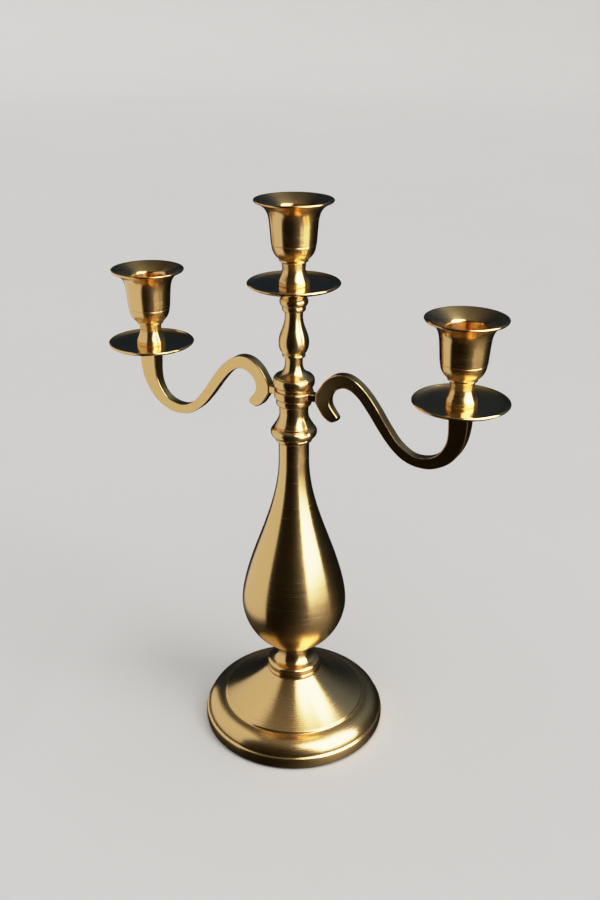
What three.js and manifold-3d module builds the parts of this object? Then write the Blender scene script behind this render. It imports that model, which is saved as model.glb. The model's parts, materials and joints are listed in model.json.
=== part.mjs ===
// Three-light tabletop candelabra in satin brass.
// Millimetres, +Z up, origin on the table under the middle of the foot. The arms lie along X.
// A threaded rod runs up the middle and clamps a stack of turned pieces between a nut under the
// foot and the centre candle cup. The arms hang on a ring that is trapped in the stack.

import * as THREE from 'three';
import { mergeVertices } from 'three/addons/utils/BufferGeometryUtils.js';
import Module from 'manifold-3d';

// ---- driving dimensions -------------------------------------------------------------------

const ROD_RADIUS = 3.0; // quarter-inch threaded rod, drawn at its pitch size
const ROD_BORE = 3.3; // clearance bore of every piece that the rod passes through
const ROD_BOTTOM = 28.5;
const ROD_ENTRY = 8.8; // length of rod or stud above a drip pan, inside the cup

const FELT_RADIUS = 61.5;
const FELT_THICKNESS = 1.0;

const FOOT_RADIUS = 64.2;
const FOOT_WALL = 2.4;
const CROWN_RADIUS = 19.0; // flat top of the foot that the collar stands on
const STEP_RADIUS = 49.1; // sharp step at the lower edge of the cone
const STEP_HEIGHT = 20.2;

// heights of the seams in the stack, from the table up
const COLLAR_BASE = 41.0;
const VASE_BASE = 61.2;
const CAP_BASE = 218.3;
const SPOOL_BASE = 228.4;
const HUB_SEAT = 248.5;
const HUB_LID = 253.4;
const BELL_BASE = 262.6;
const BALUSTER_BASE = 275.7;
const BEAD_BASE = 305.0;

const VASE_RADIUS = 35.95;
const VASE_BELLY = 98.0; // height of the widest point
const VASE_WALL = 2.2;

const HUB_RADIUS = 12.6;
const HUB_PLAY = 0.1; // running clearance of the ring, above, below and around its boss
const BOSS_RADIUS = 6.0;
const LUG_REACH = 17.0; // the lugs end here, against the arm's scroll
const LUG_ROOT = 8.0;
const LUG_TIP = 5.4;

const ARM_REACH = 112.0; // stem axis to cup axis
const ARM_THICKNESS = 6.4;
const ARM_HEAD_THICKNESS = 9.4; // the bar thickens under the drip pan
const ARM_TOP = 264.2;
const ARM_STUD_RADIUS = 1.5;
const ARM_STUD_BORE = 1.8;

const PAN_RADIUS = 29.1;
const PAN_WALL = 1.6;
const PAN_PLAY = 0.2; // gap under a drip pan, so that it can turn
const SIDE_PAN_FLOOR = 266.0;
const CENTRE_PAN_FLOOR = 321.5;

const CUP_RADIUS = 24.4;
const CUP_HEIGHT = 51.6;
const CANDLE_RADIUS = 11.3; // mouth of the socket for a 22 mm taper candle
const SOCKET_FLOOR_RADIUS = 10.4;
const SOCKET_FLOOR = 25.5;

const FINE = 32; // facets round the large pieces
const COARSE = 24; // facets round the small ones
const CURVE_STEPS = 3; // chords in each curved stretch of an outline
const FIT_GAP = 0.3;

// ---- materials ----------------------------------------------------------------------------

const satinBrass = () => new THREE.MeshStandardMaterial({ color: 0xc8a050, roughness: 0.32, metalness: 1 });
const brightBrass = () => new THREE.MeshStandardMaterial({ color: 0xd2aa58, roughness: 0.18, metalness: 1 });
const zincSteel = () => new THREE.MeshStandardMaterial({ color: 0x9aa0a4, roughness: 0.4, metalness: 1 });
const darkFelt = () => new THREE.MeshStandardMaterial({ color: 0x1f2a22, roughness: 1, metalness: 0 });

// ---- helpers ------------------------------------------------------------------------------

const point = (r, z) => new THREE.Vector2(r, z);

/** A ring or a solid turned about Z from an outline of (radius, height) points. */
function turned(points, facets = COARSE) {
  const geometry = new THREE.LatheGeometry(points, facets);
  geometry.rotateX(Math.PI / 2);
  return geometry;
}

/** The points of a path, closed back onto its first one. */
function closedOutline(path) {
  const points = path.getPoints(CURVE_STEPS);
  points.push(points[0].clone());
  return points;
}

/** A plain round pin along Z. */
function pin(radius, bottom, top, facets = 16) {
  const geometry = new THREE.CylinderGeometry(radius, radius, top - bottom, facets);
  geometry.rotateX(Math.PI / 2);
  geometry.translate(0, 0, (top + bottom) / 2);
  return geometry;
}

/** A plain round pin along X at height z. */
function crossPin(radius, start, end, z) {
  const geometry = new THREE.CylinderGeometry(radius, radius, end - start, 16);
  geometry.rotateZ(Math.PI / 2);
  geometry.translate((start + end) / 2, 0, z);
  return geometry;
}

function part(name, geometry, material) {
  const mesh = new THREE.Mesh(geometry, material);
  mesh.name = name;
  return mesh;
}

const wasm = await Module();
wasm.setup();

/** A closed geometry as a solid that can be joined and cut. */
function solidOf(geometry) {
  const bare = geometry.index ? geometry.toNonIndexed() : geometry.clone();
  bare.deleteAttribute('normal');
  bare.deleteAttribute('uv');
  const merged = mergeVertices(bare, 1e-4);
  return new wasm.Manifold(new wasm.Mesh({
    numProp: 3,
    vertProperties: new Float32Array(merged.attributes.position.array),
    triVerts: new Uint32Array(merged.index.array),
  }));
}

function geometryOf(solid) {
  const mesh = solid.getMesh();
  const geometry = new THREE.BufferGeometry();
  geometry.setAttribute('position', new THREE.BufferAttribute(new Float32Array(mesh.vertProperties), 3));
  geometry.setIndex(new THREE.BufferAttribute(new Uint32Array(mesh.triVerts), 1));
  geometry.computeVertexNormals();
  return geometry;
}

// ---- foot ---------------------------------------------------------------------------------

/** Spun dome: low band, rounded roll, sharp step, hollow-sided cone and a flat crown. */
function footGeometry() {
  const path = new THREE.Path();
  const wall = FOOT_WALL;
  path.moveTo(FOOT_RADIUS - 4.4, FELT_THICKNESS);
  path.lineTo(FOOT_RADIUS - 0.6, FELT_THICKNESS);
  path.quadraticCurveTo(FOOT_RADIUS + 0.5, 5, FOOT_RADIUS - 0.7, 8.7);
  path.lineTo(FOOT_RADIUS - 2, 9.5);
  path.bezierCurveTo(62.2, 13.5, 58, 18.4, 51.4, 18.5);
  path.lineTo(STEP_RADIUS + 0.5, 18.9);
  path.lineTo(STEP_RADIUS, STEP_HEIGHT);
  path.quadraticCurveTo(33.5, 27.5, CROWN_RADIUS, COLLAR_BASE);
  path.lineTo(ROD_BORE, COLLAR_BASE);
  path.lineTo(ROD_BORE, COLLAR_BASE - wall);
  path.lineTo(CROWN_RADIUS - 1.2, COLLAR_BASE - wall);
  path.quadraticCurveTo(32, 25.5, STEP_RADIUS - 1, STEP_HEIGHT - wall - 0.6);
  path.lineTo(54, 15.6);
  path.lineTo(FOOT_RADIUS - 4.4, 9);
  return turned(closedOutline(path), FINE);
}

/** Felt disc glued under the rim. */
function feltGeometry() {
  return turned([
    point(0, 0),
    point(FELT_RADIUS, 0),
    point(FELT_RADIUS, FELT_THICKNESS),
    point(0, FELT_THICKNESS),
  ], FINE);
}

const WASHER_TOP = COLLAR_BASE - FOOT_WALL;
const WASHER_THICKNESS = 1.6;
const NUT_HEIGHT = 5.5;

function washerGeometry() {
  return turned([
    point(ROD_BORE, WASHER_TOP - WASHER_THICKNESS),
    point(9, WASHER_TOP - WASHER_THICKNESS),
    point(9, WASHER_TOP),
    point(ROD_BORE, WASHER_TOP),
    point(ROD_BORE, WASHER_TOP - WASHER_THICKNESS),
  ], 24);
}

/** Six-sided nut: a ring turned with six facets. */
function nutGeometry() {
  const top = WASHER_TOP - WASHER_THICKNESS;
  const bore = ROD_BORE / Math.cos(Math.PI / 6);
  const corner = 6.4;
  return turned([
    point(bore, top - NUT_HEIGHT),
    point(corner - 0.6, top - NUT_HEIGHT),
    point(corner, top - NUT_HEIGHT + 0.6),
    point(corner, top),
    point(bore, top),
    point(bore, top - NUT_HEIGHT),
  ], 6);
}

// ---- stem ---------------------------------------------------------------------------------

/** Collar between foot and vase: two thin flanges, a flared skirt and a neck. */
function collarGeometry() {
  const path = new THREE.Path();
  path.moveTo(ROD_BORE, COLLAR_BASE);
  path.lineTo(19.2, COLLAR_BASE);
  path.lineTo(19.4, COLLAR_BASE + 1.4);
  path.lineTo(18.6, COLLAR_BASE + 3.4);
  path.lineTo(18.5, COLLAR_BASE + 6);
  path.quadraticCurveTo(18.2, 48.4, 15.5, 49);
  path.bezierCurveTo(12.4, 50, 11, 52.4, 10.5, 57);
  path.lineTo(10.6, VASE_BASE);
  path.lineTo(ROD_BORE, VASE_BASE);
  return turned(closedOutline(path));
}

/** Hollow pear-shaped vase with a small lip at its base and a long neck. */
function vaseGeometry() {
  const waist = point(24.1, 145);
  const path = new THREE.Path();
  path.moveTo(11.9, VASE_BASE + 1.4);
  path.bezierCurveTo(21.5, 64.2, VASE_RADIUS, 80, VASE_RADIUS, VASE_BELLY);
  path.bezierCurveTo(VASE_RADIUS, 111, 29.2, 131, waist.x, waist.y);
  path.bezierCurveTo(16.1, 167, 10.2, 185, 10, 205);
  const outer = path.getPoints(CURVE_STEPS + 2);
  const hollow = outer.filter((p) => p.y > VASE_BASE + 5).reverse();
  const inner = hollow.map((p) => point(p.x - VASE_WALL, p.y));
  return turned([
    point(ROD_BORE, VASE_BASE),
    point(11.6, VASE_BASE),
    ...outer,
    point(9.95, CAP_BASE),
    point(ROD_BORE, CAP_BASE),
    point(ROD_BORE, 205),
    ...inner,
    point(ROD_BORE, inner[inner.length - 1].y),
    point(ROD_BORE, VASE_BASE),
  ], FINE);
}

/** Cap on the vase: a small ring under a heavy quarter-round moulding. */
function capGeometry() {
  const path = new THREE.Path();
  path.moveTo(ROD_BORE, CAP_BASE);
  path.lineTo(10.8, CAP_BASE);
  path.quadraticCurveTo(12.2, CAP_BASE + 0.4, 12.2, CAP_BASE + 2.4);
  path.lineTo(11.7, CAP_BASE + 3.2);
  path.lineTo(13.6, CAP_BASE + 3.6);
  path.bezierCurveTo(15.4, 223, 15.7, 226.6, 13.4, SPOOL_BASE - 0.5);
  path.lineTo(12.9, SPOOL_BASE);
  path.lineTo(ROD_BORE, SPOOL_BASE);
  return turned(closedOutline(path));
}

/** Waisted spool; its ring carries the arm hub and its boss is the hub's bearing. */
function spoolGeometry() {
  const path = new THREE.Path();
  path.moveTo(ROD_BORE, SPOOL_BASE);
  path.lineTo(12, SPOOL_BASE);
  path.lineTo(12, SPOOL_BASE + 0.3);
  path.lineTo(12.8, SPOOL_BASE + 0.5);
  path.lineTo(12.8, SPOOL_BASE + 1.1);
  path.lineTo(12.3, SPOOL_BASE + 1.4);
  path.bezierCurveTo(11.6, 231.6, 9.3, 234, 9.3, 238);
  path.lineTo(9.5, 243);
  path.quadraticCurveTo(11.4, 243.2, 11.5, 245.4);
  path.lineTo(11.3, 247.4);
  path.lineTo(10.6, 247.8);
  path.lineTo(10.6, HUB_SEAT);
  path.lineTo(BOSS_RADIUS, HUB_SEAT);
  path.lineTo(BOSS_RADIUS, HUB_LID);
  path.lineTo(ROD_BORE, HUB_LID);
  return turned(closedOutline(path));
}

/** Lid over the hub: a plain step and a groove under a full round moulding. */
function lidGeometry() {
  const path = new THREE.Path();
  path.moveTo(ROD_BORE, HUB_LID);
  path.lineTo(11.4, HUB_LID);
  path.lineTo(11.4, HUB_LID + 1.8);
  path.lineTo(10.9, HUB_LID + 2.2);
  path.lineTo(12.3, HUB_LID + 2.7);
  path.bezierCurveTo(13.6, 257, 13.9, 261.2, 12.5, BELL_BASE - 0.3);
  path.lineTo(11.9, BELL_BASE);
  path.lineTo(ROD_BORE, BELL_BASE);
  return turned(closedOutline(path));
}

/** Bell-shaped flare that ends in a slim neck. */
function bellGeometry() {
  const path = new THREE.Path();
  path.moveTo(ROD_BORE, BELL_BASE);
  path.lineTo(11.9, BELL_BASE);
  path.lineTo(12, BELL_BASE + 0.4);
  path.bezierCurveTo(9, 264.2, 6.1, 265.8, 5.6, 270.5);
  path.quadraticCurveTo(5.5, 273.5, 5.9, BALUSTER_BASE);
  path.lineTo(ROD_BORE, BALUSTER_BASE);
  return turned(closedOutline(path));
}

/** Small pear-shaped baluster standing on a thin ring. */
function balusterGeometry() {
  const path = new THREE.Path();
  path.moveTo(ROD_BORE, BALUSTER_BASE);
  path.lineTo(7.2, BALUSTER_BASE);
  path.lineTo(7.4, BALUSTER_BASE + 1.2);
  path.lineTo(6.9, BALUSTER_BASE + 1.9);
  path.bezierCurveTo(8.7, 279.5, 9.6, 282, 9.6, 285);
  path.bezierCurveTo(9.6, 291, 5.65, 295, 5.65, 302);
  path.lineTo(5.8, BEAD_BASE);
  path.lineTo(ROD_BORE, BEAD_BASE);
  return turned(closedOutline(path));
}

/** Top bead between two thin rings; the centre drip pan turns just above it. */
function beadGeometry() {
  const top = CENTRE_PAN_FLOOR - PAN_WALL - PAN_PLAY;
  const path = new THREE.Path();
  path.moveTo(ROD_BORE, BEAD_BASE);
  path.lineTo(6.2, BEAD_BASE);
  path.quadraticCurveTo(7.6, BEAD_BASE + 0.2, 7.5, BEAD_BASE + 2.6);
  path.lineTo(7.0, BEAD_BASE + 3.4);
  path.bezierCurveTo(9.5, 308.8, 9.5, 313.2, 7.4, BEAD_BASE + 8.8);
  path.lineTo(8.1, BEAD_BASE + 9.6);
  path.lineTo(8.1, top);
  path.lineTo(ROD_BORE, top);
  return turned(closedOutline(path));
}

// ---- arms ---------------------------------------------------------------------------------

const HUB_BOTTOM = HUB_SEAT + HUB_PLAY;
const HUB_TOP = HUB_LID - HUB_PLAY;
const HUB_MIDDLE = (HUB_BOTTOM + HUB_TOP) / 2;

/** Flat ring with a tapering lug on each side, drilled for the arm studs. */
function hubGeometry() {
  const bore = BOSS_RADIUS + HUB_PLAY;
  const ring = solidOf(turned([
    point(bore, HUB_BOTTOM),
    point(HUB_RADIUS, HUB_BOTTOM),
    point(HUB_RADIUS, HUB_TOP),
    point(bore, HUB_TOP),
    point(bore, HUB_BOTTOM),
  ]));
  const lugPlan = new THREE.Shape([
    point(HUB_RADIUS - 2, -LUG_ROOT / 2),
    point(LUG_REACH, -LUG_TIP / 2),
    point(LUG_REACH, LUG_TIP / 2),
    point(HUB_RADIUS - 2, LUG_ROOT / 2),
  ]);
  const lug = new THREE.ExtrudeGeometry(lugPlan, { depth: HUB_TOP - HUB_BOTTOM, bevelEnabled: false });
  lug.translate(0, 0, HUB_BOTTOM);
  const hole = crossPin(ARM_STUD_BORE, HUB_RADIUS - 4, LUG_REACH + 1, HUB_MIDDLE);
  let hub = ring;
  for (const side of [0, Math.PI]) {
    hub = hub.add(solidOf(lug.clone().rotateZ(side)));
    hub = hub.subtract(solidOf(hole.clone().rotateZ(side)));
  }
  return geometryOf(hub);
}

/** Side view of the S-shaped arm: x is the reach from the stem, y the height. */
function armOutline() {
  const shape = new THREE.Shape();
  shape.moveTo(ARM_REACH + 6.4, ARM_TOP);
  // underside: down the head, round the trough, up to the crest and into the hook
  shape.splineThru([
    point(118.4, 250),
    point(115.8, 238.2),
    point(108.8, 227.6),
    point(98, 221.2),
    point(88, 220.2),
    point(78.6, 222.6),
    point(69.8, 229),
    point(61.8, 238.2),
    point(53.8, 249),
    point(46, 257.8),
    point(38.6, 261.6),
    point(31.8, 259.6),
    point(27.4, 254.4),
    point(27.2, 248.4),
    point(32.4, 241.2),
  ]);
  // blunt tip of the hook, then back round to the flat seat against the hub
  shape.splineThru([
    point(32, 238.6),
    point(27.8, 237),
    point(22.8, 239.4),
    point(19.2, 244.4),
    point(LUG_REACH, HUB_BOTTOM - 0.4),
  ]);
  shape.lineTo(LUG_REACH, HUB_TOP + 0.4);
  // upper side: over the crest, down the slope, round the trough and up the head
  shape.splineThru([
    point(19.2, 258),
    point(24, 264.8),
    point(30.6, 269.2),
    point(38.4, 270),
    point(45.8, 267),
    point(53.2, 260.8),
    point(60.4, 252),
    point(67.4, 242),
    point(75.2, 232.6),
    point(84.2, 227.2),
    point(93.2, 227.4),
    point(100.2, 231.2),
    point(104.8, 238.2),
    point(106.6, 247),
    point(ARM_REACH - 5.8, ARM_TOP),
  ]);
  return shape;
}

/** Bar thickness at a place on the arm: even, then growing up the head. */
function armThickness(x, z) {
  const onHead = x > 95 ? THREE.MathUtils.smoothstep(z, 230, 256) : 0;
  return THREE.MathUtils.lerp(ARM_THICKNESS, ARM_HEAD_THICKNESS, onHead);
}

const STUD_DEPTH = 14; // length of the cup stud inside the arm's head
const ARM_STUD_END = 24;

/** The right arm, drilled down its head for the cup stud and along X for the hub stud. */
function armGeometry() {
  const bar = new THREE.ExtrudeGeometry(armOutline(), { depth: 1, bevelEnabled: false, curveSegments: 2 });
  bar.rotateX(Math.PI / 2);
  bar.translate(0, 0.5, 0);
  const spots = bar.attributes.position;
  for (let i = 0; i < spots.count; i += 1) {
    spots.setY(i, spots.getY(i) * armThickness(spots.getX(i), spots.getZ(i)));
  }
  const cupHole = pin(ROD_BORE, ARM_TOP - STUD_DEPTH - FIT_GAP, ARM_TOP + 1);
  cupHole.translate(ARM_REACH, 0, 0);
  const hubHole = crossPin(ARM_STUD_BORE, LUG_REACH - 1, ARM_STUD_END + FIT_GAP, HUB_MIDDLE);
  return geometryOf(solidOf(bar).subtract(solidOf(cupHole)).subtract(solidOf(hubHole)));
}

// ---- cups and drip pans -------------------------------------------------------------------

/** Shallow drip pan with a rolled lip; its floor is at height 0. */
function panGeometry() {
  const path = new THREE.Path();
  path.moveTo(ROD_BORE, -PAN_WALL);
  path.lineTo(19.8, -PAN_WALL);
  path.quadraticCurveTo(25.8, -PAN_WALL, PAN_RADIUS - 0.7, 0.5);
  path.quadraticCurveTo(PAN_RADIUS + 0.4, 1.2, PAN_RADIUS - 0.8, 2.0);
  path.lineTo(PAN_RADIUS - 1.5, 1.6);
  path.quadraticCurveTo(25.2, 0, 20.8, 0);
  path.lineTo(ROD_BORE, 0);
  return turned(closedOutline(path), FINE);
}

/** Candle cup with its foot at height 0: plinth, flared foot, waist ring, bowl and trumpet rim. */
function cupGeometry() {
  const path = new THREE.Path();
  path.moveTo(0, ROD_ENTRY + FIT_GAP);
  path.lineTo(ROD_BORE, ROD_ENTRY + FIT_GAP);
  path.lineTo(ROD_BORE, 0);
  path.lineTo(9.6, 0);
  path.lineTo(9.6, 2.8);
  path.bezierCurveTo(8.7, 5, 7.1, 7.4, 7.1, 10.2);
  path.lineTo(7.5, 14.2);
  path.lineTo(8.9, 14.8);
  path.lineTo(8.8, 16);
  path.quadraticCurveTo(13.2, 18.8, 13.6, 24.8);
  path.lineTo(13.9, 25.6);
  path.lineTo(14.6, 35);
  path.bezierCurveTo(15.2, 42.4, 15.8, 47, CUP_RADIUS - 0.8, CUP_HEIGHT - 1.6);
  path.quadraticCurveTo(CUP_RADIUS + 0.5, CUP_HEIGHT - 0.6, CUP_RADIUS - 0.7, CUP_HEIGHT);
  path.quadraticCurveTo(16.6, 49.4, CANDLE_RADIUS + 0.9, 47);
  path.lineTo(CANDLE_RADIUS, 46.1);
  path.lineTo(SOCKET_FLOOR_RADIUS, SOCKET_FLOOR);
  path.lineTo(0, SOCKET_FLOOR);
  return turned(path.getPoints(CURVE_STEPS));
}

// ---- assembly -----------------------------------------------------------------------------

const stem = new THREE.Group();
stem.add(
  part('felt_pad', feltGeometry(), darkFelt()),
  part('foot', footGeometry(), satinBrass()),
  part('foot_washer', washerGeometry(), zincSteel()),
  part('foot_nut', nutGeometry(), zincSteel()),
  part('tie_rod', pin(ROD_RADIUS, ROD_BOTTOM, CENTRE_PAN_FLOOR + ROD_ENTRY), zincSteel()),
  part('foot_collar', collarGeometry(), satinBrass()),
  part('vase', vaseGeometry(), satinBrass()),
  part('vase_cap', capGeometry(), satinBrass()),
  part('spool', spoolGeometry(), satinBrass()),
  part('hub_lid', lidGeometry(), satinBrass()),
  part('bell', bellGeometry(), satinBrass()),
  part('baluster', balusterGeometry(), satinBrass()),
  part('top_bead', beadGeometry(), satinBrass()),
);

const arms = new THREE.Group();
arms.add(part('arm_hub', hubGeometry(), satinBrass()));

/** One side: the arm with its two studs, and the drip pan and cup that it carries. */
function addSide(side, turn) {
  const group = new THREE.Group();
  const armStud = crossPin(ARM_STUD_RADIUS, HUB_RADIUS - 4 + FIT_GAP, ARM_STUD_END, HUB_MIDDLE);
  const cupStud = pin(ROD_RADIUS, ARM_TOP - STUD_DEPTH, SIDE_PAN_FLOOR + ROD_ENTRY);
  group.add(part(`arm_${side}`, armGeometry(), satinBrass()));
  group.add(part(`arm_stud_${side}`, armStud, zincSteel()));
  const light = new THREE.Group();
  light.position.x = ARM_REACH;
  const pan = part(`drip_pan_${side}`, panGeometry(), brightBrass());
  const cup = part(`candle_cup_${side}`, cupGeometry(), satinBrass());
  pan.position.z = SIDE_PAN_FLOOR;
  cup.position.z = SIDE_PAN_FLOOR;
  light.add(part(`cup_stud_${side}`, cupStud, zincSteel()), pan, cup);
  group.add(light);
  group.rotation.z = turn;
  arms.add(group);
}

addSide('right', 0);
addSide('left', Math.PI);

const centreLight = new THREE.Group();
centreLight.add(
  part('drip_pan_center', panGeometry(), brightBrass()),
  part('candle_cup_center', cupGeometry(), satinBrass()),
);
centreLight.position.z = CENTRE_PAN_FLOOR;

const candelabra = new THREE.Group();
candelabra.add(stem, arms, centreLight);

export default candelabra;
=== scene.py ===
# %% [markdown]
# # A three-light candelabra in satin brass
# The real object is a stack of turned brass pieces on a threaded rod, with two flat S-shaped
# arms on a ring in the middle of the stack. This file gives that stack its finished look.
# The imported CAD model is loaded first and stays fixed: it says where every piece goes.

# %% Load the fixed frame
import json
import math

import bmesh
import bpy
from mathutils import Matrix, Vector

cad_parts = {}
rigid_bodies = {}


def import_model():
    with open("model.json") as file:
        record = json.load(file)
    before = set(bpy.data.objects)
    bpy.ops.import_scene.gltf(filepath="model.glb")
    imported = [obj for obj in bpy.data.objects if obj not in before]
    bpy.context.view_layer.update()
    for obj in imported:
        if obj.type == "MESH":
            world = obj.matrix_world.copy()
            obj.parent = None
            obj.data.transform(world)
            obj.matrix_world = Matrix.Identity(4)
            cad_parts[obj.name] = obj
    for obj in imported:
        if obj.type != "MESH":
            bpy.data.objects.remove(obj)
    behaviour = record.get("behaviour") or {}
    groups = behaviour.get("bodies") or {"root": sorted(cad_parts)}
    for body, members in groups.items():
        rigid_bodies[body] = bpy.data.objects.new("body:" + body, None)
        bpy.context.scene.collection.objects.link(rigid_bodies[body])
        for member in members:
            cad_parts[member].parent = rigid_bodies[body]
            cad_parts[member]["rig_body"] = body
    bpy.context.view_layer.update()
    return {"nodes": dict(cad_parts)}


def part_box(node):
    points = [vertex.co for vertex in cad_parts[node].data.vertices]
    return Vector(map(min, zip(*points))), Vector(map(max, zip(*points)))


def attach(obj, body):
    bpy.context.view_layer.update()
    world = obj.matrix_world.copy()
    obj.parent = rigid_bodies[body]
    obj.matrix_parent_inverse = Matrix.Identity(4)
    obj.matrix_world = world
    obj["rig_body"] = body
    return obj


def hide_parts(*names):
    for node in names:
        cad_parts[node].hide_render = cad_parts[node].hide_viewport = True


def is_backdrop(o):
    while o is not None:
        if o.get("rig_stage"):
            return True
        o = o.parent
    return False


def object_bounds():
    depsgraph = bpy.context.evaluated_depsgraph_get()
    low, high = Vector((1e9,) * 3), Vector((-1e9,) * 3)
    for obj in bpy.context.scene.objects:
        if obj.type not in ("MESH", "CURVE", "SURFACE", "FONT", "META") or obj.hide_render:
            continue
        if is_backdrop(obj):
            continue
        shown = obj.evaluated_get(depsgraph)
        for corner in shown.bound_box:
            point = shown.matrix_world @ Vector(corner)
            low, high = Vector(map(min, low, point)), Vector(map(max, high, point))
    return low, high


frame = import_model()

# %% [markdown]
# ## Units and the few sizes that many pieces share
# Turners draw in millimetres and Blender works in metres, so outlines are written in
# millimetres and scaled once, when a mesh is made. The heights where one piece sits on the
# next are read from the frame, so that the looks can't drift from the CAD model.

# %% Shared sizes
MM = 0.001
BORE = 3.3
ARM_REACH = 112.0
PAN_WALL = 1.6
HUB_SEAT = 248.5
HUB_BOSS = 6.0
ROD_RADIUS = 3.0
ROD_PITCH = 1.27
ARM_STUD_RADIUS = 1.5
ARM_STUD_PITCH = 0.7


def underside(node):
    """Height of a node's lowest point in millimetres."""
    return round(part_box(node)[0].z / MM, 3)


COLLAR_BASE = underside("foot_collar")
VASE_BASE = underside("vase")
CAP_BASE = underside("vase_cap")
SPOOL_BASE = underside("spool")
HUB_BASE = underside("arm_hub")
HUB_TOP = round(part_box("arm_hub")[1].z / MM, 3)
LID_BASE = underside("hub_lid")
BELL_BASE = underside("bell")
BALUSTER_BASE = underside("baluster")
BEAD_BASE = underside("top_bead")
SIDE_PAN = underside("candle_cup_right")
CENTRE_PAN = underside("candle_cup_center")
print("seams from the table up:", COLLAR_BASE, VASE_BASE, CAP_BASE, SPOOL_BASE, LID_BASE)
print("pan floors:", SIDE_PAN, CENTRE_PAN)

# %% [markdown]
# ## Camera
# The camera stands a little above the candelabra and looks down on it, turned about thirty
# degrees away from square-on to the arms. A matrix is built from a turn, a tilt and a tiny
# roll, because those are the three things that a tripod head sets.

# %% Camera
STAND_TURN = math.radians(29.92)
AIM_TURN = STAND_TURN - math.radians(0.38)
TILT_DOWN = math.radians(24.27)
ROLL = math.radians(0.14)
STAND_BACK = 0.5966
STAND_HEIGHT = 0.48
camera_data = bpy.data.cameras.new("studio_camera")
camera_data.lens = 40
camera_data.sensor_width = 36
camera_data.clip_start = 0.01
camera_data.clip_end = 100
camera = bpy.data.objects.new("studio_camera", camera_data)
bpy.context.scene.collection.objects.link(camera)
camera_place = Matrix.Rotation(STAND_TURN, 4, "Z") @ Vector((0, -STAND_BACK, STAND_HEIGHT))
camera_aim = (
    Matrix.Rotation(AIM_TURN, 4, "Z")
    @ Matrix.Rotation(math.pi / 2 - TILT_DOWN, 4, "X")
    @ Matrix.Rotation(ROLL, 4, "Z")
)
camera.matrix_world = Matrix.Translation(camera_place) @ camera_aim
bpy.context.scene.camera = camera
print("camera stands at", [round(v, 3) for v in camera_place])

# %% [markdown]
# ## Shader arithmetic
# A material is a small network of nodes. Wiring a Math node by hand for each sum is slow to
# write and hard to read, so one class wraps a socket and lets + - * and / add the nodes.
# Everything else goes through one method, `node`, which sets a node up and plugs it in.

# %% Socket arithmetic
class Wire:
    """An output socket that can be used in plain arithmetic."""

    def __init__(self, finish, socket):
        self.finish = finish
        self.socket = socket

    def math(self, operation, first, second):
        settings = {"operation": operation}
        return self.finish.node("ShaderNodeMath", settings, {0: first, 1: second})

    def __add__(self, other):
        return self.math("ADD", self, other)

    def __radd__(self, other):
        return self.math("ADD", other, self)

    def __sub__(self, other):
        return self.math("SUBTRACT", self, other)

    def __rsub__(self, other):
        return self.math("SUBTRACT", other, self)

    def __mul__(self, other):
        return self.math("MULTIPLY", self, other)

    def __rmul__(self, other):
        return self.math("MULTIPLY", other, self)

    def __truediv__(self, other):
        return self.math("DIVIDE", self, other)

    def __rtruediv__(self, other):
        return self.math("DIVIDE", other, self)


# %% A finish and its nodes
class Finish:
    """A new material and the one method that adds nodes to it."""

    def __init__(self, name):
        self.material = bpy.data.materials.new(name)
        self.material.use_nodes = True
        self.tree = self.material.node_tree
        self.tree.nodes.clear()

    def node(self, kind, settings=None, inputs=None, output=0):
        made = self.tree.nodes.new(kind)
        for key, value in (settings or {}).items():
            if key == "stops":
                set_stops(made.color_ramp, value)
            else:
                setattr(made, key, value)
        for key, value in (inputs or {}).items():
            if isinstance(value, Wire):
                self.tree.links.new(value.socket, made.inputs[key])
            else:
                made.inputs[key].default_value = value
        return Wire(self, made.outputs[output]) if made.outputs else None

    def surface(self, sockets):
        """Ends the network: a principled shader and the material output."""
        shader = self.node("ShaderNodeBsdfPrincipled", None, sockets)
        self.node("ShaderNodeOutputMaterial", None, {"Surface": shader})
        return self.material


def set_stops(ramp, stops):
    """Gives a colour ramp exactly these (position, colour) stops."""
    while len(ramp.elements) > len(stops):
        ramp.elements.remove(ramp.elements[-1])
    while len(ramp.elements) < len(stops):
        ramp.elements.new(1.0)
    for element, (position, colour) in zip(ramp.elements, stops):
        element.position = position
        element.color = (*colour, 1.0)


print("shader helpers ready")

# %% [markdown]
# ## Satin brass, turned
# The turned pieces are brushed while they spin, so their finest scratches run round the axis.
# Such a surface spreads a reflection up and down and leaves it crisp from side to side. The
# shader's anisotropy does that spreading, and a noise that is stretched round the axis gives
# the roughness and bump their streaks. The stretch comes from feeding the noise the height and
# the distance from the axis at full scale, and the direction round the axis hardly at all.
# The foot is handled most and is a little duller. The pans are buffed bright.

# %% Satin brass, turned
def lathe_noise(finish, lines_per_mm, detail, drift=0.35):
    """Noise that runs round the piece's own axis, at this many lines per millimetre."""
    place = finish.node("ShaderNodeTexCoord", output="Object")
    parts = {"X": 0, "Y": 1, "Z": 2}
    split = {k: finish.node("ShaderNodeSeparateXYZ", None, {0: place}, v) for k, v in parts.items()}
    squares = split["X"] * split["X"] + split["Y"] * split["Y"]
    radius = squares.math("SQRT", squares + 1e-9, 0.0)
    per_metre = lines_per_mm / MM
    spot = finish.node(
        "ShaderNodeCombineXYZ",
        None,
        {
            "X": split["X"] / radius * drift,
            "Y": split["Y"] / radius * drift,
            "Z": split["Z"] * per_metre,
        },
    )
    return finish.node(
        "ShaderNodeTexNoise",
        {"noise_dimensions": "4D"},
        {"Vector": spot, "W": radius * per_metre, "Scale": 1.0, "Detail": detail, "Roughness": 0.6},
    )


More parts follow.
